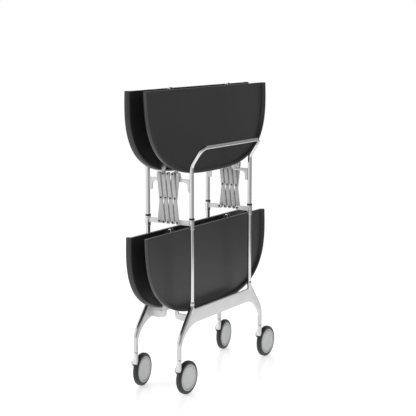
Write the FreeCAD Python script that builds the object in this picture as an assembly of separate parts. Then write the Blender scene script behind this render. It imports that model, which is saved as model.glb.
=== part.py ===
import FreeCAD, Part
import math
import os

os.makedirs("parts", exist_ok=True)

# Folding two-level serving trolley, modelled folded. Millimetres, +Z up, floor at Z = 0.
# X is the unfolding direction (front = +X), Y runs along the hinge lines (left = -Y).

# ---- trays -------------------------------------------------------------------------
TRAY_WIDTH = 675.0          # along the hinge line
LEAF_LENGTH = 254.0         # hinge edge to tip
OUTLINE_POWER = 2.9         # superellipse power of the curved edge
EDGE_GAP = 0.4              # hinge edge to hinge centre
LEAF_UNDER = 22.0           # underside, measured out from the hinge pin centre
LEAF_LIP = 39.0             # top of the raised rim
RIM_HEIGHT = 8.0            # rim above the tray floor
RIM_WIDTH = 9.0             # rim width at the top
RIM_DRAFT = 3.0             # extra rim width at the tray floor
SKIRT = 3.5                 # wall left round the recess in the underside
FLOOR_THICK = 3.0
FOLD_TILT = 2.0             # degrees each leaf leans out when folded
UPPER_HINGE_Z = 896.0
LOWER_HINGE_Z = 479.5

# ---- hinge arms under the leaves ----------------------------------------------------
PIVOT_S = 228.5             # outer pivot, distance down the leaf
PIVOT_N = 14.0              # outer pivot, distance out from the hinge centre
ARM_INNER_Y = 158.0
ARM_OUTER_Y = 163.2
KNUCKLE_Y0 = 163.5
KNUCKLE_Y1 = 169.5
KNUCKLE_R = 5.0
ARM_BOSS_R = 6.0
PIN_R = 2.5
PIN_PLAY = 0.05

# ---- tube frames --------------------------------------------------------------------
POST_X = 77.5
POST_Y = 169.0
TUBE_R = 6.0
TUBE_WALL = 1.2
TUBE_FOOT_Z = 240.0
HANDLE_X = 113.0
HANDLE_Z = 729.0
HANDLE_TILT = 34.0
HANDLE_BEND_R = 35.0
HANDLE_CORNER_R = 24.0

# ---- leg castings -------------------------------------------------------------------
STEM_Y = 239.0
STEM_JOINT_Z = 114.0
LEG_R = 6.5
WEB_THICK = 8.0
BAND_TOP_Z = 248.0
BAND_BOTTOM_Z = 208.0
BAND_FLAT_Y = 150.0         # the band's lower edge is straight up to here
LEG_KNEE_Z = 258.5
LEG_KNEE_R = 22.0
LEG_ANKLE_Z = 171.5
LEG_ANKLE_R = 62.0
SOCKET_R = 7.2
SOCKET_TOP_Z = 272.0
STEM_R = 4.0
STEM_LENGTH = 32.0

# ---- lazy tongs ---------------------------------------------------------------------
TONG_PITCH = 16.5           # pivot spacing when folded
TONG_TOP_Z = 648.8
TONG_BOTTOM_Z = 506.5
BAR_R = 6.0                 # half width of a bar
BAR_THICK = 2.8
LAYER_A_Y = 173.2
LAYER_B_Y = 176.5
RIVET_R = 2.2
HEAD_R = 3.0
HEAD_THICK = 1.4
HEAD_GAP = 0.3

# ---- brackets -----------------------------------------------------------------------
BRACKET_Y0 = 164.0
BRACKET_Y1 = 169.0
BRACKET_LEG_Z = 598.0
BRACKET_ARM_TOP = 635.0
BRACKET_ARM_HEIGHT = 9.0
BRACKET_LEG_WIDTH = 9.0
BRACKET_FILLET = 13.0
TONG_BOSS_R = 4.2
EAR_Y0 = 165.8              # inner face of the ear that carries the tong pin
LOWER_ARM_BOTTOM = 209.0
LOWER_ARM_TOP = 231.0

# ---- sliding collars ----------------------------------------------------------------
COLLAR_R = 7.6
COLLAR_BOTTOM_Z = 488.5
COLLAR_TOP_Z = 517.0
COLLAR_ARM_Z0 = 499.5
COLLAR_ARM_Z1 = 513.0
RING_R = 8.3
RING_HEIGHT = 5.5
SLIDE_PLAY = 0.08

# ---- castors ------------------------------------------------------------------------
WHEEL_R = 50.0
TYRE_HALF = 8.0
HUB_R = 40.0
TRAIL = 41.0
TYRE_GAP = 2.2
CHEEK_X0 = -14.0
CHEEK_X1 = -9.6
AXLE_R = 4.0
HOOD_BASE_Z = 76.0
HOOD_EAR_Z = 83.0
HOOD_TOP_Z = 100.0
HOOD_DEPTH = 11.0
FRONT_YAW = 0.0
REAR_YAW = -7.5

V = FreeCAD.Vector
ORIGIN = V(0, 0, 0)
AXIS_X = V(1, 0, 0)
AXIS_Y = V(0, 1, 0)
AXIS_Z = V(0, 0, 1)


# ---- helpers ------------------------------------------------------------------------
def save(shape, name):
    shape.exportStep("parts/" + name + ".step")


def place(shape, front, right):
    """A part drawn at the front right, mirrored to its own corner."""
    out = shape.copy()
    if not front:
        out = out.mirror(ORIGIN, AXIS_X)
    if not right:
        out = out.mirror(ORIGIN, AXIS_Y)
    return out


def both_sides(shape, front):
    """The right and left copies of a part drawn at the front right."""
    return Part.makeCompound([place(shape, front, True), place(shape, front, False)])


def cylinder_y(radius, y0, y1, x, z):
    return Part.makeCylinder(radius, y1 - y0, V(x, y0, z), AXIS_Y)


def plate_y(points, y0, y1):
    """A flat plate between y0 and y1 with a straight-sided outline of (x, z) points."""
    corners = [V(x, y0, z) for x, z in points]
    wire = Part.makePolygon(corners + [corners[0]])
    return Part.Face(wire).extrude(V(0, y1 - y0, 0))


def fillet_along_y(shape, radius, spots):
    """Round the edges parallel to Y that pass through the given (x, z) spots."""
    chosen = []
    for edge in shape.Edges:
        start = edge.Vertexes[0].Point
        end = edge.Vertexes[-1].Point
        along = abs(start.x - end.x) < 1e-6 and abs(start.z - end.z) < 1e-6
        if along and any(math.hypot(start.x - x, start.z - z) < 0.01 for x, z in spots):
            chosen.append(edge)
    return shape.makeFillet(radius, chosen)


def spline(points, start_dir, end_dir):
    curve = Part.BSplineCurve()
    curve.interpolate(Points=points, InitialTangent=start_dir, FinalTangent=end_dir)
    return curve.toShape()


# ---- tray leaves --------------------------------------------------------------------
def leaf_point(angle, inset):
    """A point of the curved edge in (along the hinge, down the leaf), moved inwards."""
    c = math.cos(angle)
    s = math.sin(angle)
    half = TRAY_WIDTH / 2
    y = half * math.copysign(abs(c) ** (2 / OUTLINE_POWER), c)
    d = LEAF_LENGTH * abs(s) ** (2 / OUTLINE_POWER)
    ny = math.copysign(abs(y / half) ** (OUTLINE_POWER - 1), y) / half
    nd = (d / LEAF_LENGTH) ** (OUTLINE_POWER - 1) / LEAF_LENGTH
    length = math.hypot(ny, nd)
    return y - inset * ny / length, d - inset * nd / length


def leaf_face(inset, near_edge, n):
    """The D outline at height n, its straight side near_edge from the hinge centre."""
    steps = 36
    points = []
    for i in range(1, steps):
        y, d = leaf_point(math.pi * i / steps, inset)
        if d > near_edge + 2.0:
            points.append(V(n, y, -d))
    half = TRAY_WIDTH / 2 - inset
    start = V(n, half, -near_edge)
    end = V(n, -half, -near_edge)
    curve = spline([start] + points + [end], V(0, 0, -1), V(0, 0, 1))
    return Part.Face(Part.Wire([curve, Part.makeLine(end, start)]))


def leaf_blank():
    blank = leaf_face(0.0, EDGE_GAP, LEAF_UNDER).extrude(V(LEAF_LIP - LEAF_UNDER, 0, 0))
    floor = LEAF_LIP - RIM_HEIGHT
    low = leaf_face(RIM_WIDTH + RIM_DRAFT, -20.0, floor).OuterWire
    high = leaf_face(RIM_WIDTH, -20.0, LEAF_LIP + 0.5).OuterWire
    top_recess = Part.makeLoft([low, high], True, True)
    depth = floor - FLOOR_THICK - LEAF_UNDER
    under_recess = leaf_face(SKIRT, EDGE_GAP + SKIRT, LEAF_UNDER - 1).extrude(V(depth + 1, 0, 0))
    return blank.cut(top_recess).cut(under_recess)


def set_leaf(shape, hinge_z):
    """From leaf coordinates to the folded front leaf at its hinge height."""
    out = shape.copy()
    out.rotate(ORIGIN, AXIS_Y, -FOLD_TILT)
    out.translate(V(0, 0, hinge_z))
    return out


# ---- hinge arms ---------------------------------------------------------------------
ARM_TOP_N = LEAF_LIP - RIM_HEIGHT - FLOOR_THICK


def arm_plate(y0, y1, s_end):
    """Arm plate from the hinge centre along the underside, cut off at s_end."""
    r = KNUCKLE_R
    t = ARM_TOP_N
    outline = [
        (-r * 0.62, -r * 0.78), (-r * 0.2, -r), (r * 0.75, -r * 0.4), (20, -14), (t - 7, -26),
        (t - 7, -(PIVOT_S - 22)), (PIVOT_N - 6, -(PIVOT_S - 6)), (PIVOT_N - 6, -PIVOT_S),
        (PIVOT_N + 6, -PIVOT_S), (t, -(PIVOT_S - 18)), (t, -14), (t - 4, -9), (r * 0.6, r * 0.8),
    ]
    plate = plate_y(outline, y0, y1)
    plate = plate.fuse(cylinder_y(KNUCKLE_R, y0, y1, 0, 0))
    plate = plate.fuse(cylinder_y(ARM_BOSS_R, y0, y1, PIVOT_N, -PIVOT_S))
    keep = Part.makeBox(100, y1 - y0 + 2, s_end + 20, V(-20, y0 - 1, -s_end))
    return plate.common(keep).removeSplitter()


def front_arm():
    arm = arm_plate(ARM_INNER_Y, ARM_OUTER_Y, 400)
    for x, z in ((0, 0), (PIVOT_N, -PIVOT_S)):
        arm = arm.cut(cylinder_y(PIN_R + PIN_PLAY, 150, 180, x, z))
    return arm


def rear_arm():
    """The arm with the outer knuckle and the hinge pin."""
    arm = arm_plate(ARM_INNER_Y, ARM_OUTER_Y, 400)
    arm = arm.cut(cylinder_y(KNUCKLE_R + 1.2, 150, 180, 0, 0))
    arm = arm.cut(Part.makeBox(30, 30, 20, V(-15, 150, -3)))
    arm = arm.cut(cylinder_y(PIN_R + PIN_PLAY, 150, 180, PIVOT_N, -PIVOT_S))
    knuckle = arm_plate(ARM_OUTER_Y, KNUCKLE_Y1, 46)
    clear = cylinder_y(KNUCKLE_R + 1.2, ARM_OUTER_Y - 1, KNUCKLE_Y0, 0, 0)
    arm = arm.fuse(knuckle.cut(clear))
    arm = arm.fuse(cylinder_y(PIN_R, ARM_INNER_Y - 1.8, KNUCKLE_Y1, 0, 0))
    arm = arm.fuse(cylinder_y(4.0, ARM_INNER_Y - 1.8, ARM_INNER_Y - 0.3, 0, 0))
    return arm.removeSplitter()


# ---- tube frames --------------------------------------------------------------------
def arc_edge(a, b, corner, radius):
    """Tangent arc rounding the corner between the directions to a and to b."""
    u = (a - corner).normalize()
    w = (b - corner).normalize()
    half = u.getAngle(w) / 2
    reach = radius / math.tan(half)
    middle = (u + w).normalize()
    centre = corner + middle * (radius / math.sin(half))
    p0 = corner + u * reach
    p1 = corner + w * reach
    pm = centre - middle * radius
    return Part.Arc(p0, pm, p1).toShape(), p0, p1


def handle_path():
    rise = (HANDLE_X - POST_X) / math.tan(math.radians(HANDLE_TILT))
    foot = V(POST_X, -POST_Y, TUBE_FOOT_Z)
    bend = V(POST_X, -POST_Y, HANDLE_Z - rise)
    corner = V(HANDLE_X, -POST_Y, HANDLE_Z)
    middle = V(HANDLE_X, 0, HANDLE_Z)
    arc1, a0, a1 = arc_edge(foot, corner, bend, HANDLE_BEND_R)
    arc2, b0, b1 = arc_edge(bend, middle, corner, HANDLE_CORNER_R)
    left = [Part.makeLine(foot, a0), arc1, Part.makeLine(a1, b0), arc2]
    right = [edge.mirror(ORIGIN, AXIS_Y) for edge in reversed(left)]
    bar = Part.makeLine(b1, V(b1.x, -b1.y, b1.z))
    return Part.Wire(Part.sortEdges(left + [bar] + right)[0])


def handle_tube():
    path = handle_path()
    foot = V(POST_X, -POST_Y, TUBE_FOOT_Z)
    solids = []
    for radius in (TUBE_R, TUBE_R - TUBE_WALL):
        ring = Part.Wire([Part.makeCircle(radius, foot, AXIS_Z)])
        solids.append(path.makePipeShell([ring], True, False))
    return solids[0].cut(solids[1])


# ---- leg castings -------------------------------------------------------------------
def leg_path():
    """Post foot, bent outwards to the castor stem, as lines and tangent arcs."""
    top = V(POST_X, POST_Y, SOCKET_TOP_Z)
    knee = V(POST_X, POST_Y, LEG_KNEE_Z)
    ankle = V(POST_X, STEM_Y, LEG_ANKLE_Z)
    foot = V(POST_X, STEM_Y, STEM_JOINT_Z)
    arc1, a0, a1 = arc_edge(top, ankle, knee, LEG_KNEE_R)
    arc2, b0, b1 = arc_edge(knee, foot, ankle, LEG_ANKLE_R)
    lines = [Part.makeLine(top, a0), Part.makeLine(a1, b0), Part.makeLine(b1, foot)]
    return Part.Wire([lines[0], arc1, lines[1], arc2, lines[2]]), a1, b0


def leg_web(slope_top, slope_end):
    """Right half of the band and the web filling the leg's inner bend."""
    bottom = V(POST_X, BAND_FLAT_Y, BAND_BOTTOM_Z)
    tip = V(POST_X, STEM_Y - 2.0, 138)
    mid_arch = V(POST_X, STEM_Y - 30.0, BAND_BOTTOM_Z - 25.5)
    edges = [
        Part.makeLine(V(POST_X, 0, BAND_BOTTOM_Z), bottom),
        Part.Arc(bottom, mid_arch, tip).toShape(),
        Part.makeLine(tip, V(POST_X, STEM_Y - 1.0, 160)),
        Part.makeLine(V(POST_X, STEM_Y - 1.0, 160), slope_end),
        Part.makeLine(slope_end, slope_top),
        Part.makeLine(slope_top, V(POST_X, POST_Y, BAND_TOP_Z + 8)),
        Part.makeLine(V(POST_X, POST_Y, BAND_TOP_Z + 8), V(POST_X, POST_Y - 12, BAND_TOP_Z)),
        Part.makeLine(V(POST_X, POST_Y - 12, BAND_TOP_Z), V(POST_X, 0, BAND_TOP_Z)),
        Part.makeLine(V(POST_X, 0, BAND_TOP_Z), V(POST_X, 0, BAND_BOTTOM_Z)),
    ]
    face = Part.Face(Part.Wire(edges))
    face.translate(V(-WEB_THICK / 2, 0, 0))
    return face.extrude(V(WEB_THICK, 0, 0))


def leg_casting():
    path, slope_top, slope_end = leg_path()
    ring = Part.Wire([Part.makeCircle(LEG_R, V(POST_X, POST_Y, SOCKET_TOP_Z), AXIS_Z)])
    leg = path.makePipeShell([ring], True, False)
    half = leg.fuse(leg_web(slope_top, slope_end))
    half = half.fuse(Part.makeCylinder(SOCKET_R, 12, V(POST_X, POST_Y, SOCKET_TOP_Z - 11)))
    bore = Part.makeCylinder(TUBE_R, 60, V(POST_X, POST_Y, TUBE_FOOT_Z))
    stem_bore = Part.makeCylinder(STEM_R + PIN_PLAY, STEM_LENGTH + 2, V(POST_X, STEM_Y, STEM_JOINT_Z - 1))
    half = half.cut(bore).cut(stem_bore)
    return half.fuse(half.mirror(ORIGIN, AXIS_Y)).removeSplitter()


# ---- pivots in world coordinates ----------------------------------------------------
def outer_pivot(hinge_z):
    a = math.radians(FOLD_TILT)
    x = PIVOT_S * math.sin(a) + PIVOT_N * math.cos(a)
    z = hinge_z - PIVOT_S * math.cos(a) + PIVOT_N * math.sin(a)
    return x, z


UPPER_PIVOT = outer_pivot(UPPER_HINGE_Z)
LOWER_PIVOT = outer_pivot(LOWER_HINGE_Z)
TONG_X = 2 * TONG_PITCH


# ---- brackets -----------------------------------------------------------------------
def upper_bracket(boss_end_y):
    px, pz = UPPER_PIVOT
    wall = POST_X - 2.0
    leg_in = POST_X - TUBE_R - BRACKET_LEG_WIDTH
    under = BRACKET_ARM_TOP - BRACKET_ARM_HEIGHT
    outline = [
        (wall, BRACKET_LEG_Z), (leg_in + 2, BRACKET_LEG_Z), (leg_in, BRACKET_LEG_Z + 4),
        (leg_in, under), (px + 2, under), (px - 6, under + 9), (px - 6, pz), (px + 6, pz),
        (px + 6, BRACKET_ARM_TOP), (wall, BRACKET_ARM_TOP),
    ]
    plate = plate_y(outline, BRACKET_Y0, BRACKET_Y1)
    plate = fillet_along_y(plate, BRACKET_FILLET, [(leg_in, under)])
    plate = plate.fuse(cylinder_y(6.0, BRACKET_Y0, BRACKET_Y1, px, pz))
    ear = [(px, TONG_TOP_Z + 1), (px, BRACKET_ARM_TOP - 2), (TONG_X + 8, BRACKET_ARM_TOP - 2),
           (TONG_X + TONG_BOSS_R, TONG_TOP_Z), (TONG_X, TONG_TOP_Z + 1)]
    plate = plate.fuse(plate_y(ear, EAR_Y0, BRACKET_Y1))
    plate = plate.fuse(cylinder_y(TONG_BOSS_R, EAR_Y0, boss_end_y, TONG_X, TONG_TOP_Z))
    plate = plate.cut(cylinder_y(PIN_R, 150, 180, px, pz))
    plate = plate.cut(cylinder_y(RIVET_R, 150, 190, TONG_X, TONG_TOP_Z))
    post = Part.makeCylinder(TUBE_R, 200, V(POST_X, POST_Y, BRACKET_LEG_Z - 50))
    return plate.cut(post).removeSplitter()


def lower_bracket():
    px, pz = LOWER_PIVOT
    wall = POST_X - WEB_THICK / 2
    outline = [
        (wall, LOWER_ARM_BOTTOM + 3), (px + 22, LOWER_ARM_BOTTOM), (px + 4, LOWER_ARM_BOTTOM + 5),
        (px - 6, LOWER_ARM_BOTTOM + 18), (px - 6, pz), (px + 6, pz), (px + 6, LOWER_ARM_TOP),
        (wall, LOWER_ARM_TOP),
    ]
    plate = plate_y(outline, BRACKET_Y0, BRACKET_Y1)
    plate = plate.fuse(cylinder_y(6.0, BRACKET_Y0, BRACKET_Y1, px, pz))
    return plate.cut(cylinder_y(PIN_R, 150, 180, px, pz)).removeSplitter()


def hinge_pin(px, pz):
    y0 = ARM_INNER_Y - 1.8
    pin = cylinder_y(PIN_R, y0, BRACKET_Y1 + 1.6, px, pz)
    pin = pin.fuse(cylinder_y(4.2, y0, ARM_INNER_Y - 0.3, px, pz))
    return pin.fuse(cylinder_y(4.2, BRACKET_Y1, BRACKET_Y1 + 1.6, px, pz))


def tong_pin(bar_y):
    """Fixed pin in the bracket boss that carries the first bar."""
    end = bar_y + BAR_THICK + HEAD_GAP
    pin = cylinder_y(RIVET_R, EAR_Y0, end + HEAD_THICK, TONG_X, TONG_TOP_Z)
    return pin.fuse(cylinder_y(HEAD_R, end, end + HEAD_THICK, TONG_X, TONG_TOP_Z))


def frame_pins(front):
    """Hinge pins on both sides, and on each side the pin of the first tong bar."""
    pins = [both_sides(hinge_pin(*pivot), front) for pivot in (UPPER_PIVOT, LOWER_PIVOT)]
    for right in (True, False):
        bar_y = LAYER_B_Y if front == right else LAYER_A_Y
        pins.append(place(tong_pin(bar_y), front, right))
    return Part.makeCompound(pins)


# ---- sliding collars ----------------------------------------------------------------
def collar(boss_end_y):
    height = COLLAR_TOP_Z - COLLAR_BOTTOM_Z
    body = Part.makeCylinder(COLLAR_R, height, V(POST_X, POST_Y, COLLAR_BOTTOM_Z))
    middle = (COLLAR_ARM_Z0 + COLLAR_ARM_Z1) / 2
    arm_half = (COLLAR_ARM_Z1 - COLLAR_ARM_Z0) / 2
    arm = plate_y([(POST_X, COLLAR_ARM_Z0), (TONG_X, COLLAR_ARM_Z0), (TONG_X, COLLAR_ARM_Z1),
                   (POST_X, COLLAR_ARM_Z1)], POST_Y - 3.5, POST_Y + 3.5)
    arm = arm.fuse(cylinder_y(arm_half, POST_Y - 3.5, POST_Y + 3.5, TONG_X, middle))
    boss = cylinder_y(4.5, POST_Y, boss_end_y, TONG_X, TONG_BOTTOM_Z)
    bore = Part.makeCylinder(TUBE_R + SLIDE_PLAY, 100, V(POST_X, POST_Y, COLLAR_BOTTOM_Z - 20))
    return body.fuse(arm).fuse(boss).cut(bore).removeSplitter()


def collar_ring():
    base = V(POST_X, POST_Y, COLLAR_TOP_Z)
    ring = Part.makeCylinder(RING_R, RING_HEIGHT, base)
    ring = ring.makeFillet(1.2, [e for e in ring.Edges if len(e.Vertexes) == 1])
    return ring.cut(Part.makeCylinder(TUBE_R + SLIDE_PLAY, RING_HEIGHT + 2, base - V(0, 0, 1)))


# ---- tong bars ----------------------------------------------------------------------
def rivet(x, z, y0, y1, outside, inside):
    """Rivet shank with a head on the outer end, the inner end, or both."""
    shape = cylinder_y(RIVET_R, y0, y1, x, z)
    if outside:
        shape = shape.fuse(cylinder_y(HEAD_R, y1 - HEAD_THICK, y1, x, z))
    if inside:
        shape = shape.fuse(cylinder_y(HEAD_R, y0, y0 + HEAD_THICK, x, z))
    return shape.removeSplitter()


def tong_bar(x_top, x_bottom, bar_y, fixed, loose):
    """Flat bar between two rows; fixed holes grip a rivet and loose holes turn on one."""
    middle_z = (TONG_TOP_Z + TONG_BOTTOM_Z) / 2
    spots = {
        "top": (x_top, TONG_TOP_Z),
        "centre": ((x_top + x_bottom) / 2, middle_z),
        "bottom": (x_bottom, TONG_BOTTOM_Z),
    }
    length = math.hypot(x_top - x_bottom, TONG_TOP_Z - TONG_BOTTOM_Z)
    ux = (x_top - x_bottom) / length
    uz = (TONG_TOP_Z - TONG_BOTTOM_Z) / length
    sx = uz * BAR_R
    sz = -ux * BAR_R
    y1 = bar_y + BAR_THICK
    corners = [(x_top + sx, TONG_TOP_Z + sz), (x_top - sx, TONG_TOP_Z - sz),
               (x_bottom - sx, TONG_BOTTOM_Z - sz), (x_bottom + sx, TONG_BOTTOM_Z + sz)]
    bar = plate_y(corners, bar_y, y1)
    for name in ("top", "bottom"):
        bar = bar.fuse(cylinder_y(BAR_R, bar_y, y1, *spots[name]))
    bar = bar.removeSplitter()
    for name in fixed:
        bar = bar.cut(cylinder_y(RIVET_R, bar_y - 1, y1 + 1, *spots[name]))
    for name in loose:
        bar = bar.cut(cylinder_y(RIVET_R + PIN_PLAY, bar_y - 1, y1 + 1, *spots[name]))
    return bar, spots


def through_rivet(spot):
    y0 = LAYER_A_Y - HEAD_GAP - HEAD_THICK
    y1 = LAYER_B_Y + BAR_THICK + HEAD_GAP + HEAD_THICK
    return rivet(spot[0], spot[1], y0, y1, True, True)


def end_rivet(spot, bar_y, outside):
    """Rivet held in one bar only, with its head on the chosen side."""
    if outside:
        return rivet(spot[0], spot[1], bar_y, bar_y + BAR_THICK + HEAD_THICK, True, False)
    return rivet(spot[0], spot[1], bar_y - HEAD_THICK, bar_y + BAR_THICK, False, True)


def tong_parts(a_outside):
    """Bar solids of one half of a tong, right side, as name -> list of solids."""
    layer = {"a": LAYER_B_Y, "b": LAYER_A_Y} if a_outside else {"a": LAYER_A_Y, "b": LAYER_B_Y}
    outer = TONG_X
    inner = TONG_PITCH
    bar_1a, at_1a = tong_bar(outer, inner, layer["a"], ("centre", "bottom"), ("top",))
    bar_1b, at_1b = tong_bar(inner, outer, layer["b"], ("top", "bottom"), ("centre",))
    bar_2a, at_2a = tong_bar(inner, 0.0, layer["a"], ("centre", "bottom"), ("top",))
    bar_2b, at_2b = tong_bar(0.0, inner, layer["b"], ("top",), ("centre", "bottom"))
    return {
        "1a": [bar_1a, through_rivet(at_1a["centre"]), through_rivet(at_1a["bottom"])],
        "1b": [bar_1b, through_rivet(at_1b["top"]), end_rivet(at_1b["bottom"], layer["b"], True)],
        "2a": [bar_2a, through_rivet(at_2a["centre"]), end_rivet(at_2a["bottom"], layer["a"], a_outside)],
        "2b": [bar_2b, end_rivet(at_2b["top"], layer["b"], not a_outside)],
    }


# ---- castors ------------------------------------------------------------------------
def revolve_x(profile):
    """Turn an (x, radius) outline about the wheel axle."""
    corners = [V(x, 0, r) for x, r in profile]
    face = Part.Face(Part.makePolygon(corners + [corners[0]]))
    return face.revolve(ORIGIN, AXIS_X, 360)


def wheel_parts():
    w = TYRE_HALF
    tyre = revolve_x([(-w, HUB_R), (-w, WHEEL_R - 5), (-w + 1.6, WHEEL_R - 1.8), (-w + 4.5, WHEEL_R),
                      (w - 4.5, WHEEL_R), (w - 1.6, WHEEL_R - 1.8), (w, WHEEL_R - 5), (w, HUB_R)])
    bore = AXLE_R + PIN_PLAY
    hub = revolve_x([(-w, bore), (-w, 12), (-w + 2, 14), (-w + 2, 34), (-w, 36), (-w, HUB_R),
                     (w, HUB_R), (w + 0.8, HUB_R - 1.2), (w + 0.8, 35), (w, 34.4), (w, 0),
                     (w - 3, 0), (w - 3, bore)])
    axle = Part.makeCylinder(AXLE_R, w - 3.4 - CHEEK_X0, V(CHEEK_X0, 0, 0), AXIS_X)
    axle = axle.fuse(Part.makeCylinder(6.0, 1.6, V(CHEEK_X0 - 1.6, 0, 0), AXIS_X))
    shift = V(0, TRAIL, WHEEL_R)
    for shape in (tyre, hub, axle):
        shape.translate(shift)
    return {"tyre": tyre, "hub": hub, "axle": axle}


def castor_fork():
    """Swivel barrel whose hood ends against the tyre, with one cheek down to the axle."""
    barrel = Part.makeCylinder(LEG_R, STEM_JOINT_Z - 0.4 - HOOD_BASE_Z, V(0, 0, HOOD_BASE_Z))
    stem = Part.makeCylinder(STEM_R, STEM_LENGTH, V(0, 0, STEM_JOINT_Z - 1))
    y0 = -HOOD_DEPTH / 2
    hood_line = Part.makePolygon([V(0, y0, HOOD_TOP_Z), V(-LEG_R + 0.3, y0, HOOD_TOP_Z),
                                  V(CHEEK_X0, y0, HOOD_EAR_Z), V(CHEEK_X0, y0, HOOD_BASE_Z),
                                  V(0, y0, HOOD_BASE_Z), V(0, y0, HOOD_TOP_Z)])
    hood = Part.Face(hood_line).extrude(V(0, HOOD_DEPTH, 0))
    cheek_line = Part.makePolygon([V(CHEEK_X0, y0, HOOD_BASE_Z), V(CHEEK_X0, y0, HOOD_EAR_Z),
                                   V(CHEEK_X0, 8, HOOD_EAR_Z + 4), V(CHEEK_X0, TRAIL + 2, WHEEL_R + 9),
                                   V(CHEEK_X0, TRAIL + 2, WHEEL_R - 9), V(CHEEK_X0, TRAIL - 15, WHEEL_R - 4),
                                   V(CHEEK_X0, 9, WHEEL_R + 12), V(CHEEK_X0, y0, HOOD_BASE_Z)])
    cheek = Part.Face(cheek_line).extrude(V(CHEEK_X1 - CHEEK_X0, 0, 0))
    boss = Part.makeCylinder(9.2, CHEEK_X1 - CHEEK_X0, V(CHEEK_X0, TRAIL, WHEEL_R), AXIS_X)
    clear = Part.makeCylinder(WHEEL_R + TYRE_GAP, 40, V(CHEEK_X1, TRAIL, WHEEL_R), AXIS_X)
    fork = barrel.fuse(hood).cut(clear).fuse(cheek).fuse(boss).fuse(stem)
    fork = fork.cut(Part.makeCylinder(AXLE_R, 40, V(-30, TRAIL, WHEEL_R), AXIS_X))
    return fork.removeSplitter()


def place_castor(shape, front, right):
    out = shape.copy()
    out.rotate(ORIGIN, AXIS_Z, -(FRONT_YAW if front else REAR_YAW))
    out.translate(V(POST_X if front else -POST_X, STEM_Y if right else -STEM_Y, 0))
    return out


# ---- write every piece --------------------------------------------------------------
blank = leaf_blank()
tube = handle_tube()
casting = leg_casting()
castor_shapes = wheel_parts()
castor_shapes["fork"] = castor_fork()
arms = {"front": front_arm(), "rear": rear_arm()}
levels = {"upper": UPPER_HINGE_Z, "lower": LOWER_HINGE_Z}

for end, front in (("front", True), ("rear", False)):
    save(place(tube, front, True), end + "_handle_tube")
    save(place(casting, front, True), end + "_leg_casting")
    save(frame_pins(front), end + "_frame_pins")
    save(both_sides(collar_ring(), front), end + "_collar_rings")
    for level, hinge_z in levels.items():
        save(place(set_leaf(blank, hinge_z), front, True), end + "_" + level + "_leaf")
        arm = set_leaf(arms[end], hinge_z)
        save(both_sides(arm, front), end + "_" + level + "_hinge_arms")
    for side, right in (("left", False), ("right", True)):
        corner = end + "_" + side
        a_outside = front == right
        top_boss_y = (LAYER_B_Y if a_outside else LAYER_A_Y) - HEAD_GAP
        bottom_boss_y = (LAYER_A_Y if a_outside else LAYER_B_Y) - HEAD_GAP
        save(place(upper_bracket(top_boss_y), front, right), corner + "_upper_bracket")
        save(place(lower_bracket(), front, right), corner + "_lower_bracket")
        save(place(collar(bottom_boss_y), front, right), corner + "_collar")
        for name, solids in tong_parts(a_outside).items():
            group = Part.makeCompound([place(solid, front, right) for solid in solids])
            save(group, corner + "_tong_bar_" + name)
        for name, shape in castor_shapes.items():
            save(place_castor(shape, front, right), corner + "_castor_" + name)
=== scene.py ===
import math
import bmesh
import bpy
from mathutils import Matrix, Vector


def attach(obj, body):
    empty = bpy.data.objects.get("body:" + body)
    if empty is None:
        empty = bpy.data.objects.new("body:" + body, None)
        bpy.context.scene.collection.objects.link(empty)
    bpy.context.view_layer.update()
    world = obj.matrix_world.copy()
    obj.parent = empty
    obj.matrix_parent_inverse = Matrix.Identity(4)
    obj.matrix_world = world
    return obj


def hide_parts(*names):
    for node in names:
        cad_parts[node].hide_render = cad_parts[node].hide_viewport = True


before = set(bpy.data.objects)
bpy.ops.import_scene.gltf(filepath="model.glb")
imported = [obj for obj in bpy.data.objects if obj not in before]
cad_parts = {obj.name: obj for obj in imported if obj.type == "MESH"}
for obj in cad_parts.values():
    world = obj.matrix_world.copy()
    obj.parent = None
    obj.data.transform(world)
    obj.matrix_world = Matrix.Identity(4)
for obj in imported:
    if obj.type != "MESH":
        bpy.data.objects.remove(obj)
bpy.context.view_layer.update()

# A folding serving trolley, folded up: two trays of two leaves each, two tube frames on leg
# castings, sliding collars, lazy tongs at both sides and four castors. X runs from the rear
# frame to the front frame, Y along the hinge lines, Z up. Each shape is made once, in
# millimetres at the front right corner unless its text says otherwise, and mirrored from there.
MM = 0.001
ENDS = (("front", 1), ("rear", -1))
SIDES = (("left", -1), ("right", 1))

# ---- dimensions shared with the CAD model, in millimetres and degrees ---------------
UPPER_HINGE_Z, LOWER_HINGE_Z = 896.0, 479.5
LEVELS = (("upper", UPPER_HINGE_Z), ("lower", LOWER_HINGE_Z))
HALF_WIDTH = 337.5
LEAF_LENGTH = 254.0
OUTLINE_POWER = 2.9
EDGE_GAP = 0.4
FOLD_TILT = 2.0
POST_X, POST_Y = 77.5, 169.0
HANDLE_X, HANDLE_Z, HANDLE_TILT = 113.0, 729.0, 34.0
TUBE_R, TUBE_FOOT_Z, TUBE_BEND_R, HANDLE_CORNER_R = 6.0, 240.0, 35.0, 24.0
STEM_Y, STEM_JOINT_Z = 239.0, 114.0
LEG_TOP_Z, LEG_KNEE_Z, LEG_ANKLE_Z = 271.0, 258.5, 171.5
LEG_R, KNEE_BEND_R, ANKLE_BEND_R = 6.5, 22.0, 62.0
PIVOT_S, PIVOT_N = 228.5, 14.0
TONG_PITCH, TONG_TOP_Z, TONG_BOTTOM_Z = 16.5, 648.8, 506.5
LAYER_A, LAYER_B, BAR_THICK, BAR_R = 173.2, 176.5, 2.8, 6.0
BOSS_GAP = 0.3
BRACKET_Y0, BRACKET_Y1, EAR_Y0 = 164.0, 169.0, 165.8
UPPER_ARM_TOP_Z, UPPER_ARM_HEIGHT = 635.0, 9.0
COLLAR_FOOT_Z, COLLAR_HEIGHT = 488.5, 28.5
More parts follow.
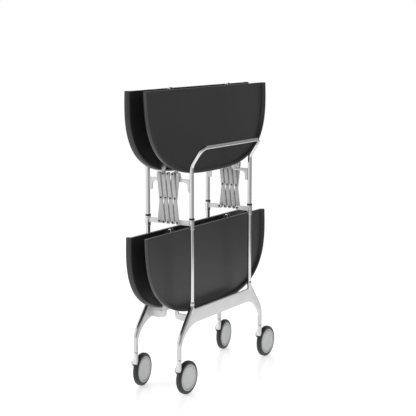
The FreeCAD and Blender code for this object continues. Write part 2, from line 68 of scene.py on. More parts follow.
COLLAR_ARM_Z0, COLLAR_ARM_Z1 = 499.5, 513.0
BARREL_R, HOOD_BASE_Z, HOOD_SPREAD = 6.5, 76.0, 7.4
TRAIL, WHEEL_R = 41.0, 50.0
KNUCKLE_R = 5.0
YAW = {"front": 0.0, "rear": -7.5}


# ---- materials ----------------------------------------------------------------------
METAL_TINT = (0.3, 0.3, 0.3, 1)
SMOOTHEST = 0.02
BUMP_DEPTH = 0.4 * MM


def new_material(name, base, rough, metallic=0.0, spread=0.06, blotch=9.0, rough_spread=0.06,
                 grain=1400.0, bump=0.05, streak=None, specular=0.5):
    """Procedural surface: slow colour variation, uneven gloss and a fine grain or brushed bump."""
    mat = bpy.data.materials.new(name)
    mat.use_nodes = True
    tree = mat.node_tree
    nodes, links = tree.nodes, tree.links
    bsdf = nodes["Principled BSDF"]
    bsdf.inputs["Metallic"].default_value = metallic
    bsdf.inputs["Specular IOR Level"].default_value = specular
    if metallic == 1.0:
        bsdf.inputs["Specular Tint"].default_value = METAL_TINT
    coords = nodes.new("ShaderNodeTexCoord")
    slow = nodes.new("ShaderNodeTexNoise")
    slow.inputs["Scale"].default_value = blotch
    slow.inputs["Detail"].default_value = 4.0
    links.new(coords.outputs["Object"], slow.inputs["Vector"])
    ramp = nodes.new("ShaderNodeValToRGB")
    for element, place, shade in zip(ramp.color_ramp.elements, (0.3, 0.7), (1 - spread, 1 + spread)):
        element.position = place
        element.color = (*[c * shade for c in base], 1)
    links.new(slow.outputs["Fac"], ramp.inputs["Fac"])
    links.new(ramp.outputs["Color"], bsdf.inputs["Base Color"])
    gloss = nodes.new("ShaderNodeMapRange")
    gloss.inputs["To Min"].default_value = max(SMOOTHEST, rough - rough_spread)
    gloss.inputs["To Max"].default_value = rough + rough_spread
    links.new(slow.outputs["Fac"], gloss.inputs["Value"])
    links.new(gloss.outputs["Result"], bsdf.inputs["Roughness"])
    fine = nodes.new("ShaderNodeTexNoise")
    fine.inputs["Scale"].default_value = grain
    fine.inputs["Detail"].default_value = 3.0
    if streak:
        stretch = nodes.new("ShaderNodeMapping")
        stretch.inputs["Scale"].default_value = streak
        links.new(coords.outputs["Object"], stretch.inputs["Vector"])
        links.new(stretch.outputs["Vector"], fine.inputs["Vector"])
    else:
        links.new(coords.outputs["Object"], fine.inputs["Vector"])
    bumped = nodes.new("ShaderNodeBump")
    bumped.inputs["Strength"].default_value = bump
    bumped.inputs["Distance"].default_value = BUMP_DEPTH
    links.new(fine.outputs["Fac"], bumped.inputs["Height"])
    links.new(bumped.outputs["Normal"], bsdf.inputs["Normal"])
    return mat


TRAY = new_material("tray_plastic", (0.020, 0.020, 0.021), 0.34, grain=1500, bump=0.22, spread=0.10,
                    blotch=6.0, rough_spread=0.05)
CHROME = new_material("chrome_plate", (0.70, 0.70, 0.71), 0.06, 1.0, spread=0.02, rough_spread=0.03,
                      grain=300, bump=0.02)
CASTING = new_material("satin_casting", (0.74, 0.74, 0.745), 0.42, 0.10, spread=0.04, blotch=14.0,
                       grain=900, bump=0.10)
POLISHED = new_material("polished_edge", (0.58, 0.58, 0.59), 0.10, 1.0, spread=0.03, rough_spread=0.03,
                        grain=400, bump=0.03)
BRACKET = new_material("bracket_casting", (0.66, 0.66, 0.665), 0.42, 0.20, spread=0.07, blotch=30.0,
                       grain=1200, bump=0.12)
BAR = new_material("tong_bar", (0.42, 0.42, 0.425), 0.38, 0.20, spread=0.05, blotch=25.0,
                   grain=500, bump=0.10, streak=(1.0, 1.0, 0.06))
RIVET = new_material("dark_rivet", (0.060, 0.060, 0.062), 0.30, 0.8, spread=0.2, blotch=200.0,
                     grain=2000, bump=0.08)
RING = new_material("black_ring", (0.010, 0.010, 0.010), 0.42, spread=0.2, blotch=120.0, bump=0.1)
HUB = new_material("hub_plastic", (0.55, 0.555, 0.56), 0.40, spread=0.04, blotch=40.0, grain=1600,
                   bump=0.12)
TYRE = new_material("tyre_rubber", (0.012, 0.012, 0.013), 0.40, spread=0.25, blotch=60.0,
                    rough_spread=0.09, grain=1800, bump=0.25)
FORK = new_material("fork_casting", (0.64, 0.64, 0.645), 0.20, 0.85, spread=0.05, blotch=60.0,
                    grain=1100, bump=0.07)
STEEL = new_material("axle_steel", (0.50, 0.50, 0.51), 0.28, 1.0, spread=0.06, blotch=90.0, bump=0.06)


# ---- mesh helpers -------------------------------------------------------------------
def make_object(name, verts, faces, mat, angle=35.0):
    """Mesh object from millimetre points, smooth shaded but sharp above the angle."""
    mesh = bpy.data.meshes.new(name)
    mesh.from_pydata([Vector(v) * MM for v in verts], [], faces)
    bm = bmesh.new()
    bm.from_mesh(mesh)
    bmesh.ops.remove_doubles(bm, verts=bm.verts, dist=1e-6)
    bmesh.ops.recalc_face_normals(bm, faces=bm.faces)
    bm.to_mesh(mesh)
    bm.free()
    mesh.shade_smooth()
    mesh.set_sharp_from_angle(angle=math.radians(angle))
    obj = bpy.data.objects.new(name, mesh)
    bpy.context.scene.collection.objects.link(obj)
    obj.data.materials.append(mat)
    return obj


def finish_piece(obj, body, slot, *nodes):
    """Fix a piece to its body; where nodes are named, it stands in for those CAD nodes."""
    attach(obj, body)
    if nodes:
        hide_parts(*nodes)


def strips(rows, closed_rows, closed_ends=False):
    """Quads between neighbouring rows of vertex numbers; each row, or the set, may close up."""
    faces = []
    pairs = list(zip(rows, rows[1:])) + ([(rows[-1], rows[0])] if closed_ends else [])
    for a, b in pairs:
        n = len(a)
        for i in range(n if closed_rows else n - 1):
            j = (i + 1) % n
            faces.append((a[i], a[j], b[j], b[i]))
    return faces


def lathe(profile, steps=64, closed=True):
    """Turn an (axial, radius) outline about X; a closed outline makes a ring with a hole."""
    verts, rows = [], []
    for k in range(steps):
        a = 2 * math.pi * k / steps
        row = []
        for x, r in profile:
            row.append(len(verts))
            verts.append((x, r * math.sin(a), r * math.cos(a)))
        rows.append(row)
    return verts, strips(rows, closed, True)


def capped(rows):
    """Faces of a tube made of closed rows, with both ends shut."""
    return strips(rows, True) + [tuple(rows[0]), tuple(reversed(rows[-1]))]


def sweep(points, radius, sides=36):
    """Round bar along a list of points that starts off square to X, both ends shut."""
    verts, rows = [], []
    last = len(points) - 1
    side = None
    for i, here in enumerate(points):
        along = (points[min(last, i + 1)] - points[max(0, i - 1)]).normalized()
        if side is None:
            side = along.cross(Vector((1, 0, 0))).normalized()
        side = (side - along * side.dot(along)).normalized()
        other = along.cross(side)
        row = []
        for k in range(sides):
            a = 2 * math.pi * k / sides
            row.append(len(verts))
            verts.append(here + (side * math.cos(a) + other * math.sin(a)) * radius)
        rows.append(row)
    return verts, capped(rows)


def arc_points(a, b, corner, radius, steps=14):
    """Points of the arc that rounds the corner between a and b."""
    a, b, corner = Vector(a), Vector(b), Vector(corner)
    u = (a - corner).normalized()
    w = (b - corner).normalized()
    half = u.angle(w) / 2
    centre = corner + (u + w).normalized() * (radius / math.sin(half))
    p0 = corner + u * (radius / math.tan(half))
    p1 = corner + w * (radius / math.tan(half))
    e0, e1 = p0 - centre, p1 - centre
    turn = e0.angle(e1)
    out = []
    for i in range(steps + 1):
        t = i / steps
        k0 = math.sin((1 - t) * turn) / math.sin(turn)
        k1 = math.sin(t * turn) / math.sin(turn)
        out.append(centre + e0 * k0 + e1 * k1)
    return out


def plate(outline, y0, y1, bevel=0.8, segments=3):
    """Flat plate from an (x, z) outline, between two heights in Y, with bevelled edges."""
    bm = bmesh.new()
    ring = [bm.verts.new((x, y0, z)) for x, z in outline]
    face = bm.faces.new(ring)
    grown = bmesh.ops.extrude_face_region(bm, geom=[face])
    far_side = [g for g in grown["geom"] if isinstance(g, bmesh.types.BMVert)]
    bmesh.ops.translate(bm, verts=far_side, vec=(0, y1 - y0, 0))
    bmesh.ops.recalc_face_normals(bm, faces=bm.faces)
    rim = [e for e in bm.edges if abs(e.verts[0].co.y - e.verts[1].co.y) < 1e-6]
    bmesh.ops.bevel(bm, geom=rim, offset=bevel, segments=segments, profile=0.5, affect="EDGES",
                    clamp_overlap=True)
    bm.verts.index_update()
    verts = [tuple(v.co) for v in bm.verts]
    faces = [tuple(v.index for v in f.verts) for f in bm.faces]
    bm.free()
    return verts, faces


def cylinder(centre, axis, radius, length, bevel=0.5, sides=40):
    """Round post with rounded rims, from the centre of one end along an axis."""
    b = min(bevel, radius * 0.45, length * 0.45)
    rim = b * 0.3
    cut = [(0, 0.0), (0, radius - b), (rim, radius - rim), (b, radius), (length - b, radius),
           (length - rim, radius - rim), (length, radius - b), (length, 0.0)]
    turn = Vector((1, 0, 0)).rotation_difference(Vector(axis))
    return moved(lathe(cut, sides, closed=False), lambda v: Vector(centre) + turn @ v)


def joined(*shapes):
    """Several shapes as one list of points and one of faces."""
    verts, faces = [], []
    for v, f in shapes:
        start = len(verts)
        verts += [tuple(p) for p in v]
        faces += [tuple(i + start for i in face) for face in f]
    return verts, faces


def moved(shape, change):
    """The shape with a change made to each of its points."""
    verts, faces = shape
    return [change(Vector(v)) for v in verts], faces


def mirrored(shape, sx=1, sy=1):
    """The shape at another corner, where sx and sy are 1 or -1."""
    return moved(shape, lambda v: Vector((v.x * sx, v.y * sy, v.z)))


def at_both_sides(shape, sx=1):
    """The shape and its mirror image across the middle, as one."""
    return joined(*[mirrored(shape, sx, sy) for _, sy in SIDES])


# ---- tray leaves --------------------------------------------------------------------
# Across a leaf, from its flat outer face over the raised rim to its flat inner face: how far in
# from the outline, and how far out from the hinge centre.
PLATE_INNER, SKIRT_INNER = 28.0, 22.0
SKIRT_INSETS = (7.0, 8.8)
OUTLINE_STEPS, SEARCH_STEPS, ACROSS_STEPS = 150, 6000, 24
RIM_PROFILE = [
    (14.2, 31.0), (12.6, 31.1), (11.8, 31.5), (11.2, 32.3), (10.6, 34.0), (9.4, 37.4), (8.9, 38.3),
    (8.1, 38.85), (7.0, 39.0), (3.0, 39.0), (1.7, 38.85), (0.75, 38.35), (0.2, 37.5), (0.0, 36.4),
    (0.15, 33.0), (0.6, 30.0), (1.4, 27.0), (2.6, 24.4), (3.8, 22.9), (5.0, 22.2), (6.2, 22.0),
    (7.2, 22.1), (7.6, 22.6), (7.6, 27.2), (7.9, 27.8), (8.7, 28.0),
]


def outline_samples(count):
    """Even steps along the curved edge as (y, depth d, normal y, normal d), from +Y to -Y."""
    dense = []
    first = math.asin((EDGE_GAP / LEAF_LENGTH) ** (OUTLINE_POWER / 2))
    for i in range(SEARCH_STEPS + 1):
        t = first + (math.pi - 2 * first) * i / SEARCH_STEPS
        c, s = math.cos(t), math.sin(t)
        y = HALF_WIDTH * math.copysign(abs(c) ** (2 / OUTLINE_POWER), c)
        dense.append((y, LEAF_LENGTH * abs(s) ** (2 / OUTLINE_POWER)))
    lengths = [0.0]
    for a, b in zip(dense, dense[1:]):
        lengths.append(lengths[-1] + math.hypot(a[0] - b[0], a[1] - b[1]))
    out, k = [], 0
    for i in range(count + 1):
        want = lengths[-1] * i / count
        while k < SEARCH_STEPS - 1 and lengths[k + 1] < want:
            k += 1
        f = (want - lengths[k]) / max(1e-9, lengths[k + 1] - lengths[k])
        y = dense[k][0] + (dense[k + 1][0] - dense[k][0]) * f
        d = dense[k][1] + (dense[k + 1][1] - dense[k][1]) * f
        ny = math.copysign(abs(y / HALF_WIDTH) ** (OUTLINE_POWER - 1), y) / HALF_WIDTH
        nd = (d / LEAF_LENGTH) ** (OUTLINE_POWER - 1) / LEAF_LENGTH
        size = math.hypot(ny, nd)
        out.append((y, d, ny / size, nd / size))
    return out


def leaf_rows():
    """Where the rim profile stands round a leaf: outline sample, edge rounding, skirt filled in."""
    samples = outline_samples(OUTLINE_STEPS)
    start = []
    for along, drop, filled in ((0.0, 1.3, True), (0.35, 0.4, True), (1.2, 0.0, True),
                                (3.5, 0.0, True), (3.5, 0.0, False)):
        start.append(((samples[0][0], EDGE_GAP + along, 1.0, 0.0), drop, filled))
    middle = [(sample, 0.0, False) for sample in samples[1:-1]]
    finish = [((-y, d, -ny, nd), drop, filled) for (y, d, ny, nd), drop, filled in reversed(start)]
    return start + middle + finish


def leaf_shape():
    """One leaf in leaf coordinates: x out from the hinge centre, y along it, z down the leaf."""
    verts, rows = [], []
    for (y, d, ny, nd), drop, filled in leaf_rows():
        row = []
        for inset, n in RIM_PROFILE:
            if filled and SKIRT_INSETS[0] < inset < SKIRT_INSETS[1] and n < PLATE_INNER + 0.5:
                n = SKIRT_INNER
            if n > PLATE_INNER + 1.0:
                n -= drop
            row.append(len(verts))
            verts.append((n, y - inset * ny, -(d - inset * nd)))
        rows.append(row)
    faces = strips(rows, False) + [tuple(rows[0]), tuple(reversed(rows[-1]))]
    count = len(rows)
    centre = (count - 1) // 2
    for column in (0, len(RIM_PROFILE) - 1):
        grid = []
        for i in range(centre):
            a = Vector(verts[rows[i][column]])
            b = Vector(verts[rows[count - 1 - i][column]])
            line = [rows[i][column]]
            for k in range(1, ACROSS_STEPS):
                line.append(len(verts))
                verts.append(tuple(a.lerp(b, k / ACROSS_STEPS)))
            line.append(rows[count - 1 - i][column])
            grid.append(line)
        faces += strips(grid, False)
        tip = rows[centre][column]
        last = grid[-1]
        faces += [(last[k], last[k + 1], tip) for k in range(ACROSS_STEPS)]
        if column == 0:
            top_edge = grid[0]
        else:
            faces += strips([top_edge, grid[0]], False)
    return verts, faces


def set_leaf(shape, sx, hinge_z):
    """From leaf coordinates to the folded leaf, which leans out by the fold tilt."""
    a = math.radians(FOLD_TILT)

    def change(v):
        s = -v.z
        x = s * math.sin(a) + v.x * math.cos(a)
        z = hinge_z - s * math.cos(a) + v.x * math.sin(a)
        return Vector((sx * x, v.y, z))
    return moved(shape, change)


LEAF = leaf_shape()
for end, sx in ENDS:
    for level, hinge_z in LEVELS:
        body = end + "_" + level + "_leaf"
        leaf = make_object(body + "_tray", *set_leaf(LEAF, sx, hinge_z), TRAY, 40)
        finish_piece(leaf, body, "tray_plastic", body)


# ---- handle tubes -------------------------------------------------------------------
def handle_points():
    """Up the left post, out and across as the handle bar, and down the right post."""
    rise = (HANDLE_X - POST_X) / math.tan(math.radians(HANDLE_TILT))
    foot = (POST_X, -POST_Y, TUBE_FOOT_Z)
    lean = (POST_X, -POST_Y, HANDLE_Z - rise)
    corner = (HANDLE_X, -POST_Y, HANDLE_Z)
    middle = (HANDLE_X, 0, HANDLE_Z)
    left = [Vector((POST_X, -POST_Y, TUBE_FOOT_Z + 40.0 * k)) for k in range(10)]
    left += arc_points(foot, corner, lean, TUBE_BEND_R, 16)
    left += arc_points(lean, middle, corner, HANDLE_CORNER_R, 20)
    bar = [Vector((HANDLE_X, y, HANDLE_Z)) for y in range(-120, 121, 40)]
    right = [Vector((p.x, -p.y, p.z)) for p in reversed(left)]
    return left + bar + right


TUBE = sweep(handle_points(), TUBE_R)
for end, sx in ENDS:
    name = end + "_handle_tube"
    tube = make_object(name + "_chrome", *mirrored(TUBE, sx), CHROME, 60)
    finish_piece(tube, end + "_frame", "chrome_tube", name)


# ---- leg castings -------------------------------------------------------------------
WEB_Z0, WEB_Z1, WEB_THICK = 208.0, 248.0, 8.0


def leg_rail_points():
    """The leg's S bend, from under the post down to the castor stem."""
    top = (POST_X, POST_Y, LEG_TOP_Z)
    knee = (POST_X, POST_Y, LEG_KNEE_Z)
    ankle = (POST_X, STEM_Y, LEG_ANKLE_Z)
    foot = (POST_X, STEM_Y, STEM_JOINT_Z)
    bends = arc_points(top, ankle, knee, KNEE_BEND_R, 10) + arc_points(knee, foot, ankle, ANKLE_BEND_R, 16)
    return [Vector(top)] + bends + [Vector((POST_X, STEM_Y, STEM_JOINT_Z + 18.0)), Vector(foot)]


def arc3(a, m, b, steps):
    """Points on the circle through three (y, z) points, from a by way of m to b."""
    ax, ay, bx, by, cx, cy = *a, *m, *b
    d = 2 * (ax * (by - cy) + bx * (cy - ay) + cx * (ay - by))
    ux = ((ax * ax + ay * ay) * (by - cy) + (bx * bx + by * by) * (cy - ay)
          + (cx * cx + cy * cy) * (ay - by)) / d
    uy = ((ax * ax + ay * ay) * (cx - bx) + (bx * bx + by * by) * (ax - cx)
          + (cx * cx + cy * cy) * (bx - ax)) / d
    r = math.hypot(ax - ux, ay - uy)
    first = math.atan2(ay - uy, ax - ux)
    last = math.atan2(cy - uy, cx - ux)
    middle = math.atan2(by - uy, bx - ux)
    if not min(first, last) <= middle <= max(first, last):
        last += 2 * math.pi if last < first else -2 * math.pi
    angles = [first + (last - first) * k / steps for k in range(steps + 1)]
    return [(ux + r * math.cos(a), uy + r * math.sin(a)) for a in angles]


def web_shape():
    """Band and leg webs as one plate with rounded edges, from a (y, z) outline."""
    half = [(0.0, WEB_Z0), (75.0, WEB_Z0)]
    half += arc3((150.0, WEB_Z0), (209.0, 182.5), (237.0, 138.0), 24)
    half += [(238.0, 160.0), (232.0, 182.0), (225.0, 193.1), (173.9, 255.9), (POST_Y, 256.0)]
    half += arc3((163.5, 256.0), (160.5, 250.6), (155.0, 248.4), 6)
    half += [(75.0, WEB_Z1), (0.0, WEB_Z1)]
    other = [(-y, z) for y, z in reversed(half)][1:-1]
    shape = plate(half + other, -WEB_THICK / 2, WEB_THICK / 2, 1.3, 4)
    return moved(shape, lambda v: Vector((POST_X + v.y, v.x, v.z)))


WEB = web_shape()
RAIL = sweep(leg_rail_points(), LEG_R)
SOCKET = cylinder((POST_X, POST_Y, 260.5), (0, 0, 1), 7.2, 11.9, 1.2)
for end, sx in ENDS:
    name = end + "_leg_casting"
    web = make_object(end + "_leg_web", *mirrored(WEB, sx), CASTING, 50)
    finish_piece(web, end + "_frame", "leg_casting", name)
    rails = at_both_sides(joined(RAIL, SOCKET), sx)
    rail = make_object(end + "_leg_rails", *rails, POLISHED, 50)
    finish_piece(rail, end + "_frame", "leg_casting", name)


# ---- pivots -------------------------------------------------------------------------
def outer_pivot(hinge_z):
    """Where a leaf turns on its bracket, as (x, z)."""
    a = math.radians(FOLD_TILT)
    return (PIVOT_S * math.sin(a) + PIVOT_N * math.cos(a),
            hinge_z - PIVOT_S * math.cos(a) + PIVOT_N * math.sin(a))


UPPER_PIVOT = outer_pivot(UPPER_HINGE_Z)
LOWER_PIVOT = outer_pivot(LOWER_HINGE_Z)
PIVOT_EYE_R = 6.0
TONG_X = 2 * TONG_PITCH


def bend(points, radius, steps):
    """Round each corner of a closed (x, z) outline by its own radius; 0 leaves it sharp."""
    flat = [(x, 0, z) for x, z in points]
    out = []
    for i, (here, r) in enumerate(zip(flat, radius)):
        if r:
            arc = arc_points(flat[i - 1], flat[(i + 1) % len(flat)], here, r, steps)
            out += [(p.x, p.z) for p in arc]
        else:
            out.append(points[i])
    return out


def a_bars_outside(end, side):
    """Whether the tong bars called a, and not the b bars, are in the outer layer here."""
    return (end == "front") == (side == "right")


# ---- upper brackets -----------------------------------------------------------------
def upper_bracket_shape():
    """Foot on the post, arm to the leaf's pivot, ear for the tongs and a raised rib inside."""
    px, pz = UPPER_PIVOT
    top, under, foot, root = UPPER_ARM_TOP_Z, UPPER_ARM_TOP_Z - UPPER_ARM_HEIGHT, 598.0, 72.5
    near, far, end_z = px + PIVOT_EYE_R, px - PIVOT_EYE_R, pz + PIVOT_EYE_R
    arm = bend([(root, foot), (62.5, foot), (62.5, under), (far, under), (far, end_z), (near, end_z),
                (near, top), (root, top)],
               [0, 4.0, 12.5, 7.0, 5.8, 5.8, 3.0, 0], 10)
    ear = bend([(px, top - 1), (TONG_X + 8, top - 1), (TONG_X + 4, top + 17.5), (px, top + 17.5)],
               [0, 2.0, 3.8, 0], 6)
    rib = bend([(root - 0.1, foot + 2), (68.0, foot + 2), (68.0, under + 3), (30, under + 3),
                (30, top - 3), (root - 0.1, top - 3)], [0, 2.0, 6.0, 1.2, 1.2, 0], 5)
    return joined(plate(arm, BRACKET_Y0, BRACKET_Y1, 1.0, 3), plate(ear, EAR_Y0, BRACKET_Y1, 0.6, 2),
                  plate(rib, BRACKET_Y0 - 0.7, BRACKET_Y0 + 0.2, 0.3, 2))


UPPER_BRACKET = upper_bracket_shape()
for end, sx in ENDS:
    for side, sy in SIDES:
        boss_y0 = BRACKET_Y1 - 0.5
        boss_y1 = (LAYER_B if a_bars_outside(end, side) else LAYER_A) - BOSS_GAP
        boss = cylinder((TONG_X, boss_y0, TONG_TOP_Z), (0, 1, 0), 4.2, boss_y1 - boss_y0, 0.5)
        name = end + "_" + side + "_upper_bracket"
        piece = make_object(name + "_casting", *mirrored(joined(UPPER_BRACKET, boss), sx, sy), BRACKET, 50)
        finish_piece(piece, end + "_frame", "bracket_casting", name)


# ---- lower brackets -----------------------------------------------------------------
def lower_bracket_shape():
    """Pad on the leg casting and arm to the leaf's pivot."""
    px, pz = LOWER_PIVOT
    root, top = 73.6, 231.0
    near, far, end_z = px + PIVOT_EYE_R, px - PIVOT_EYE_R, pz + PIVOT_EYE_R
    arm = bend([(root, 212), (px + 22, 209.2), (far, 214), (far, end_z), (near, end_z), (near, top),
                (root, top)],
               [0, 14.0, 10.0, 5.8, 5.8, 3.0, 0], 10)
    pad = bend([(root, 209.5), (69.5, 209.5), (69.5, top + 7), (root, top + 7)], [0, 1.5, 1.5, 0], 5)
    return joined(plate(arm, BRACKET_Y0, BRACKET_Y1, 1.0, 3), plate(pad, 160.5, 172.5, 0.8, 3))


LOWER_BRACKET = lower_bracket_shape()
for end, sx in ENDS:
    for side, sy in SIDES:
        name = end + "_" + side + "_lower_bracket"
        piece = make_object(name + "_casting", *mirrored(LOWER_BRACKET, sx, sy), CASTING, 50)
        finish_piece(piece, end + "_frame", "bracket_casting", name)


# ---- sliding collars ----------------------------------------------------------------
def upright(profile, x, y, z, steps=48):
    """Ring standing on (x, y, z), turned from a (height, radius) outline."""
    shape = lathe(profile, steps)
    return moved(shape, lambda v: Vector((x + v.y, y + v.z, z + v.x)))


def collar_shape(boss_y1):
    """Sleeve with a groove near each end, the arm with its boss, and the arm's inner rivet."""
    groove_r, sleeve_r, bore_r = 7.15, 7.6, TUBE_R + 0.1
    sleeve = upright([(0.0, bore_r), (0.0, 7.0), (0.5, 7.5), (1.4, sleeve_r), (2.6, sleeve_r),
                      (3.0, groove_r), (3.5, groove_r), (3.9, sleeve_r), (24.2, sleeve_r),
                      (24.6, groove_r), (25.1, groove_r), (25.5, sleeve_r), (27.9, sleeve_r),
                      (COLLAR_HEIGHT, 7.1), (COLLAR_HEIGHT, bore_r)], POST_X, POST_Y, COLLAR_FOOT_Z)
    tip, root, half_thick = TONG_X - 6.6, 71.5, 3.5
    outline = bend([(root, COLLAR_ARM_Z0), (tip, COLLAR_ARM_Z0), (tip, COLLAR_ARM_Z1), (root, COLLAR_ARM_Z1)],
                   [0, 6.4, 6.4, 0], 10)
    arm = plate(outline, POST_Y - half_thick, POST_Y + half_thick, 1.0, 3)
    boss_y0 = POST_Y + 2.0
    boss = cylinder((TONG_X, boss_y0, TONG_BOTTOM_Z), (0, 1, 0), 4.5, boss_y1 - boss_y0, 0.3)
    arm_middle = (COLLAR_ARM_Z0 + COLLAR_ARM_Z1) / 2
    rivet = cylinder((TONG_X, POST_Y - 5.2, arm_middle), (0, 1, 0), 3.4, 2.2, 0.8)
    return sleeve, joined(arm, boss), rivet


COLLAR_RING = upright([(0.0, 6.1), (0.0, 7.6), (0.5, 8.1), (1.2, 8.3), (4.3, 8.3), (5.0, 8.1), (5.5, 7.5),
                       (5.5, 6.1)], POST_X, POST_Y, COLLAR_FOOT_Z + COLLAR_HEIGHT)
for end, sx in ENDS:
    body = end + "_sliders"
    for side, sy in SIDES:
        boss_y1 = (LAYER_A if a_bars_outside(end, side) else LAYER_B) - BOSS_GAP
        sleeve, arm, rivet = collar_shape(boss_y1)
        name = end + "_" + side + "_collar"
        piece = make_object(name + "_sleeve", *mirrored(sleeve, sx, sy), CHROME, 40)
        finish_piece(piece, body, "collar_chrome", name)
        piece = make_object(name + "_arm", *mirrored(arm, sx, sy), BRACKET, 50)
        finish_piece(piece, body, "bracket_casting", name)
        piece = make_object(name + "_arm_rivet", *mirrored(rivet, sx, sy), RIVET, 50)
        finish_piece(piece, body, "dark_pin")
    piece = make_object(end + "_collar_ring_pair", *at_both_sides(COLLAR_RING, sx), RING, 40)
    finish_piece(piece, body, "black_ring", end + "_collar_rings")


# ---- lazy tongs ---------------------------------------------------------------------
SHANK_R, HEAD_R, HEAD_HEIGHT = 2.15, 2.9, 1.4


def bar_shape(x_top, x_bottom, y0):
    """Flat bar with round ends between the top and bottom rows."""
    a = Vector((x_top, 0, TONG_TOP_Z))
    b = Vector((x_bottom, 0, TONG_BOTTOM_Z))
    u = (a - b).normalized()
    side = Vector((u.z, 0, -u.x))
    outline = []
    for centre, start in ((a, 0.0), (b, math.pi)):
        for k in range(15):
            t = start + math.pi * k / 14
            p = centre + (side * math.cos(t) + u * math.sin(t)) * BAR_R
            outline.append((p.x, p.z))
    return plate(outline, y0, y0 + BAR_THICK, 0.5, 2)


def rivet_shape(x, z, y0, y1, inside, outside):
    """Shank with a domed head at one end or both."""
    parts = [cylinder((x, y0, z), (0, 1, 0), SHANK_R, y1 - y0, 0.2, 20)]
    if outside:
        parts.append(cylinder((x, y1 - HEAD_HEIGHT, z), (0, 1, 0), HEAD_R, HEAD_HEIGHT, 0.9, 28))
    if inside:
        parts.append(cylinder((x, y0 + HEAD_HEIGHT, z), (0, -1, 0), HEAD_R, HEAD_HEIGHT, 0.9, 28))
    return joined(*parts)


def through(x, z):
    """Rivet through both layers of bars, with a head on each side."""
    head = HEAD_HEIGHT + 0.3
    return rivet_shape(x, z, LAYER_A - head, LAYER_B + BAR_THICK + head, True, True)


def single(x, z, y0, outside):
    """Rivet through one bar, with its head on the outer or the inner side."""
    if outside:
        return rivet_shape(x, z, y0, y0 + BAR_THICK + HEAD_HEIGHT, False, True)
    return rivet_shape(x, z, y0 - HEAD_HEIGHT, y0 + BAR_THICK, True, False)


MIDDLE_Z = (TONG_TOP_Z + TONG_BOTTOM_Z) / 2
p = TONG_PITCH
for end, sx in ENDS:
    for side, sy in SIDES:
        a_outside = a_bars_outside(end, side)
        a_y, b_y = (LAYER_B, LAYER_A) if a_outside else (LAYER_A, LAYER_B)
        bars = {
            "1a": (2 * p, p, a_y, [through(1.5 * p, MIDDLE_Z), through(p, TONG_BOTTOM_Z)]),
            "1b": (p, 2 * p, b_y, [through(p, TONG_TOP_Z), single(2 * p, TONG_BOTTOM_Z, b_y, True)]),
            "2a": (p, 0.0, a_y, [through(0.5 * p, MIDDLE_Z), single(0.0, TONG_BOTTOM_Z, a_y, a_outside)]),
            "2b": (0.0, p, b_y, [single(0.0, TONG_TOP_Z, b_y, not a_outside)]),
        }
        for key, (x_top, x_bottom, y0, rivets) in bars.items():
            name = end + "_" + side + "_tong_bar_" + key
            body = end + "_tong_" + key
            piece = make_object(name + "_flat", *mirrored(bar_shape(x_top, x_bottom, y0), sx, sy), BAR, 40)
            finish_piece(piece, body, "tong_steel", name)
            piece = make_object(name + "_rivets", *mirrored(joined(*rivets), sx, sy), RIVET, 40)
            finish_piece(piece, body, "dark_pin")


# ---- hinge arms, pins and knuckles --------------------------------------------------
def dress(node, mat):
    """A material for a node that keeps its CAD shape."""
    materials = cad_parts[node].data.materials
    materials.clear()
    materials.append(mat)


for end, sx in ENDS:
    dress(end + "_frame_pins", STEEL)
    for level, hinge_z in LEVELS:
        dress(end + "_" + level + "_hinge_arms", TRAY)


def washer(y0, y1, hole, radius, z):
    """Bright ring about the hinge line, on the right side."""
    profile = [(y0, hole), (y0, radius - 0.5), (y0 + 0.4, radius), (y1 - 0.4, radius),
               (y1, radius - 0.5), (y1, hole)]
    return moved(lathe(profile, 32), lambda v: Vector((v.y, v.x, v.z + z)))


for level, hinge_z in LEVELS:
    barrel = cylinder((0, 158.1, hinge_z), (0, 1, 0), KNUCKLE_R, 5.0, 0.8, 32)
    rings = joined(washer(155.7, 157.6, 2.0, 4.9, hinge_z), washer(169.4, 170.4, 2.2, 4.9, hinge_z))
    for end, shape in (("front", barrel), ("rear", rings)):
        piece = make_object(end + "_" + level + "_hinge_knuckles", *at_both_sides(shape), POLISHED, 40)
        finish_piece(piece, end + "_" + level + "_leaf", "hinge_arm")


# ---- castors ------------------------------------------------------------------------
# Drawn with the swivel axis on Z, the wheel trailing along Y and the cheek on the -X side.
HOOD_START_Z, HOOD_FALL, HOOD_SIDES = 100.5, 17.0, 44
TYRE_CLEARANCE, TYRE_REACH_Z = 2.2, 92.0
CHEEK_X0, CHEEK_X1 = -14.0, -9.6


def tyre_front(z):
    """How far forward the clearance round the tyre reaches at a height."""
    reach = (WHEEL_R + TYRE_CLEARANCE) ** 2 - (z - WHEEL_R) ** 2
    return TRAIL - math.sqrt(max(0.0, reach))


def hood_shape():
    """Round swivel barrel that spreads to the cheek side and stops against the tyre."""
    top = [(113.6, 0.9), (113.3, 0.35), (112.7, 0.0)]
    straight = [(z, 0.0) for z in (106.0, 101.0, 98.0, 95.0, 92.0, 89.0, 86.0, 83.5, 81.0, 78.5)]
    bottom = [(HOOD_BASE_Z + 1.0, 0.1), (HOOD_BASE_Z + 0.3, 0.4), (HOOD_BASE_Z, 1.0)]
    verts, rows = [], []
    for z, trim in top + straight + bottom:
        spread = min(1.0, max(0.0, (HOOD_START_Z - z) / HOOD_FALL))
        cheek_side = BARREL_R + HOOD_SPREAD * spread ** 1.2 - trim
        plain_side = BARREL_R - trim
        wall = tyre_front(z) if z < TYRE_REACH_Z else BARREL_R
        row = []
        for k in range(HOOD_SIDES):
            a = 2 * math.pi * k / HOOD_SIDES
            x = math.cos(a) * (plain_side if math.cos(a) > 0 else cheek_side)
            row.append(len(verts))
            verts.append((x, min(wall, plain_side * math.sin(a)), z))
        rows.append(row)
    return verts, capped(rows)


